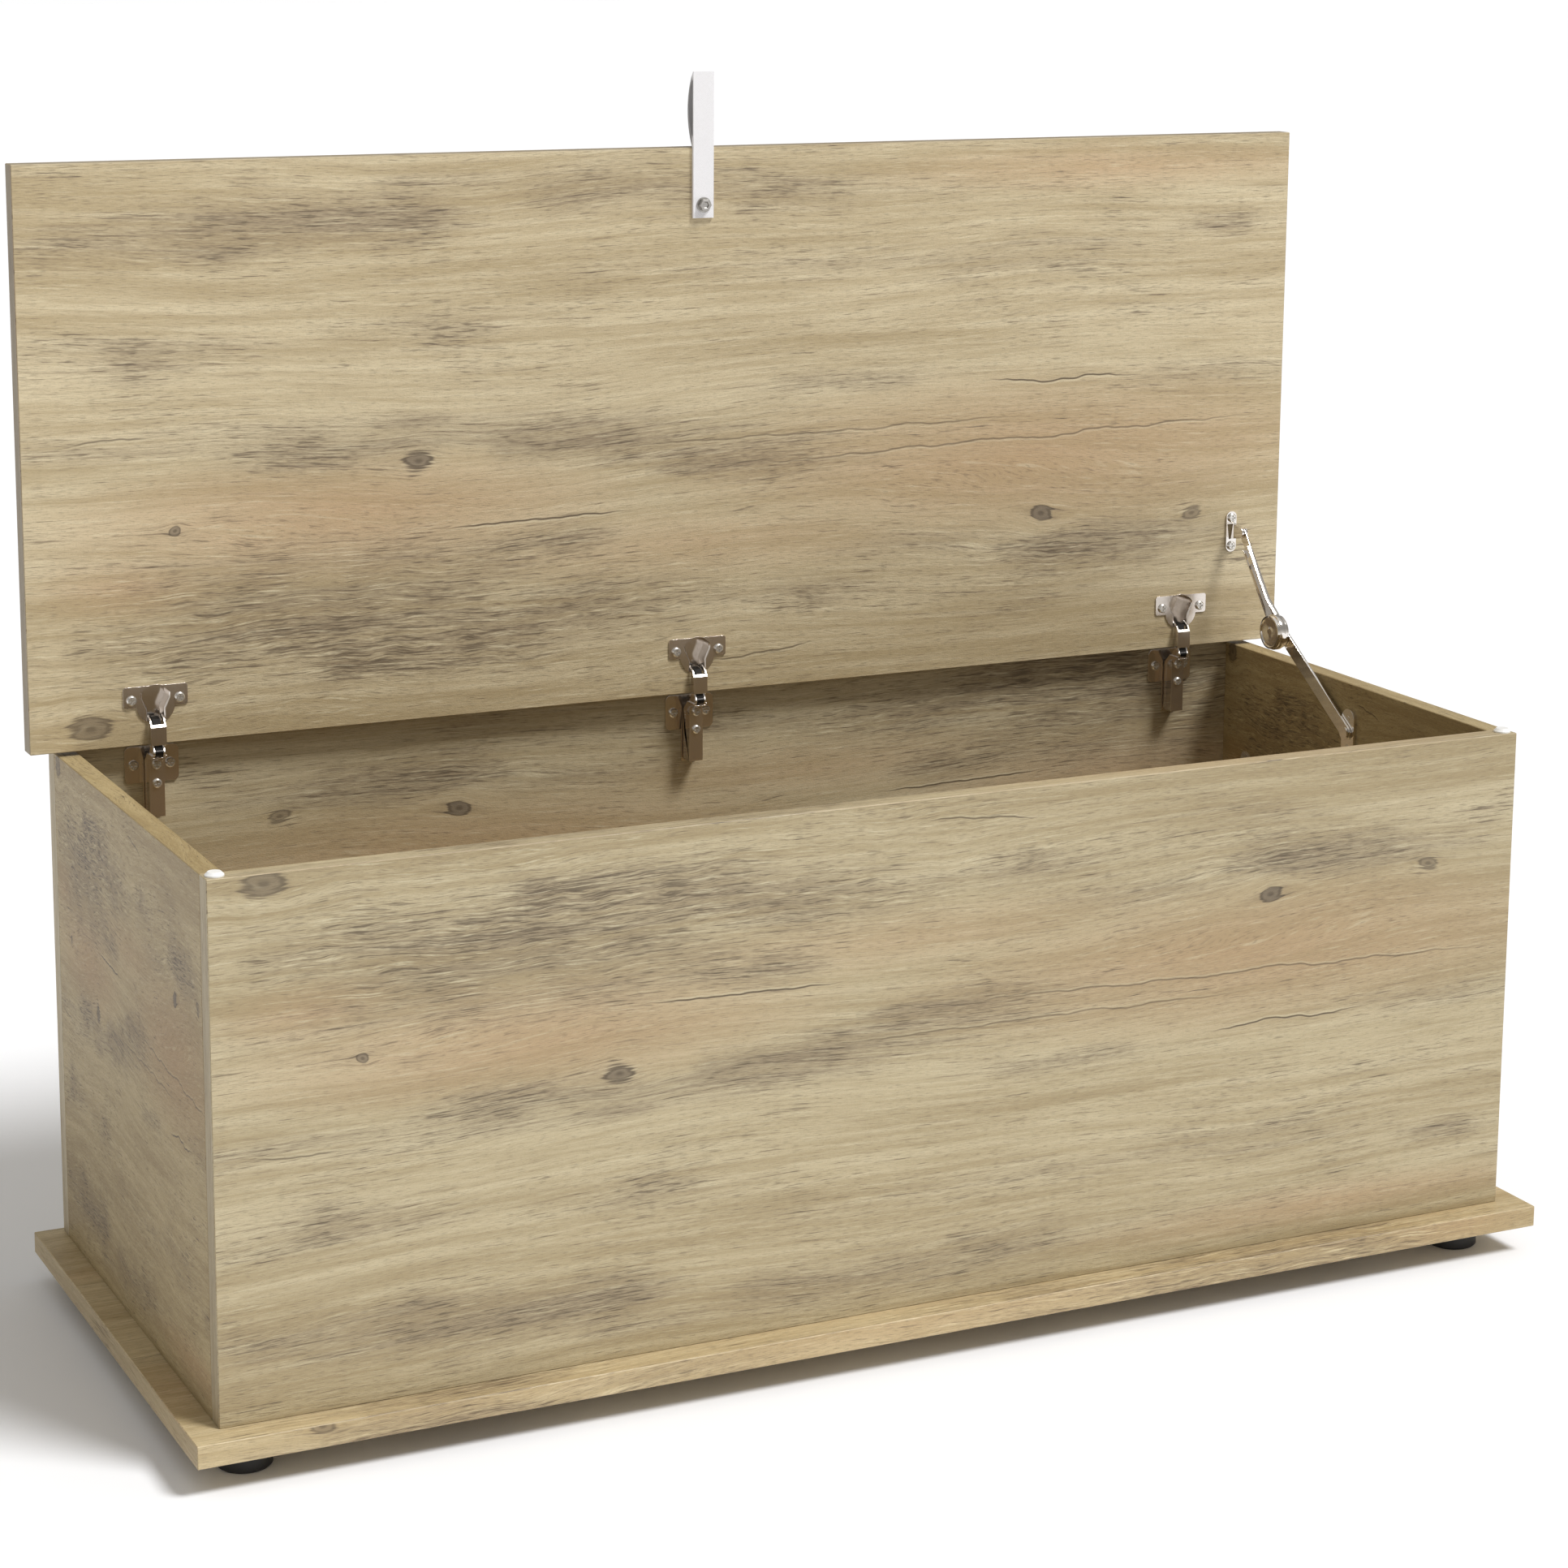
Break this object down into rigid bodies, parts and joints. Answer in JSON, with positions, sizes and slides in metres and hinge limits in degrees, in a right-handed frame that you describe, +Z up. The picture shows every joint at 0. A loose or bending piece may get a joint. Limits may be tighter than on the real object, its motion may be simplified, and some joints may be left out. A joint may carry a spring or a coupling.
{
  "type": "storage chest",
  "caption": "Low wooden storage chest on round feet, with an upright lid on concealed cup hinges, a folding friction stay and a webbing pull strap.",
  "frame": {"origin": "centre of the footprint on the floor, midway between the base board's edges", "axes": "+X to the right along the chest, +Y to the back, +Z up"},
  "size_m": [1, 0.4, 0.842],
  "materials": {
    "board_wood": "weathered oak laminate on particle board, satin",
    "dowel_wood": "fluted beech, raw",
    "foot_plastic": "black moulded plastic",
    "bumper_rubber": "soft white silicone",
    "nickel_steel": "nickel-plated pressed steel",
    "black_steel": "black-finished steel leaves",
    "zinc_steel": "zinc-plated steel",
    "stay_chrome": "bright plated steel",
    "insert_brass": "machined brass",
    "strap_webbing": "woven webbing"
  },
  "bodies": {
    "chest": {"arm_pivot_pins": "zinc_steel", "back_panel": "board_wood", "base_board": "board_wood", "base_screws": "zinc_steel", "bumper_left": "bumper_rubber", "bumper_right": "bumper_rubber", "cam_bolts": "zinc_steel", "cam_locks": "zinc_steel", "corner_dowels": "dowel_wood", "foot_back_left": "foot_plastic", "foot_back_right": "foot_plastic", "foot_front_left": "foot_plastic", "foot_front_right": "foot_plastic", "foot_screws": "zinc_steel", "front_panel": "board_wood", "hinge_adjusting_screws": "zinc_steel", "hinge_arm_left": "nickel_steel", "hinge_arm_middle": "nickel_steel", "hinge_arm_right": "nickel_steel", "hinge_plate_left": "nickel_steel", "hinge_plate_middle": "nickel_steel", "hinge_plate_right": "nickel_steel", "hinge_plate_screws": "zinc_steel", "left_side_panel": "board_wood", "right_side_panel": "board_wood", "stay_side_bracket": "stay_chrome", "stay_side_bracket_screws": "zinc_steel", "stay_side_pivot_rivet": "stay_chrome"},
    "outer_links": {"hinge_outer_link_left": "nickel_steel", "hinge_outer_link_middle": "nickel_steel", "hinge_outer_link_right": "nickel_steel"},
    "inner_links": {"hinge_inner_link_left": "black_steel", "hinge_inner_link_middle": "black_steel", "hinge_inner_link_right": "black_steel"},
    "lid": {"lid_panel": "board_wood", "hinge_cup_left": "nickel_steel", "hinge_cup_middle": "nickel_steel", "hinge_cup_right": "nickel_steel", "hinge_cup_screws": "zinc_steel", "cup_pivot_pins": "zinc_steel", "stay_lid_bracket": "stay_chrome", "stay_lid_bracket_screws": "zinc_steel", "stay_lid_pivot_pin": "stay_chrome", "pull_strap": "strap_webbing", "strap_bolt": "zinc_steel", "strap_washer": "zinc_steel", "strap_insert": "insert_brass"},
    "stay_lower": {"stay_lower_arm": "stay_chrome"},
    "stay_upper": {"stay_upper_arm": "stay_chrome", "stay_hub_housing": "stay_chrome", "stay_hub_cap": "stay_chrome", "stay_friction_disc": "stay_chrome", "stay_wave_washer": "stay_chrome", "stay_hub_rivet": "stay_chrome"}
  },
  "joints": [
    {"name": "link_arm_hinge", "type": "hinge", "parent": "chest", "child": "outer_links", "pos_m": [0, 0.162, 0.38862], "axis": [1, 0, 0], "range_deg": [-70.64, 0]},
    {"name": "lid_hinge", "type": "hinge", "parent": "outer_links", "child": "lid", "pos_m": [0, 0.167, 0.407], "axis": [1, 0, 0], "range_deg": [0, 160.62]},
    {"name": "hook_arm_hinge", "type": "hinge", "parent": "chest", "child": "inner_links", "pos_m": [0, 0.16, 0.383], "axis": [1, 0, 0], "range_deg": [-44.24, 0]},
    {"name": "stay_side_hinge", "type": "hinge", "parent": "chest", "child": "stay_lower", "pos_m": [0.461, 0.004, 0.348], "axis": [1, 0, 0], "range_deg": [-67.39, 0]},
    {"name": "stay_lid_hinge", "type": "hinge", "parent": "lid", "child": "stay_upper", "pos_m": [0.458, 0.15, 0.478], "axis": [1, 0, 0], "range_deg": [-61.36, 0]}
  ],
  "couplings": [
    {"joint": "link_arm_hinge", "follows": "lid_hinge", "ratio": -0.43968},
    {"joint": "hook_arm_hinge", "follows": "lid_hinge", "ratio": -0.2753},
    {"joint": "stay_side_hinge", "follows": "lid_hinge", "ratio": -0.41943},
    {"joint": "stay_lid_hinge", "follows": "lid_hinge", "ratio": -0.38189}
  ]
}
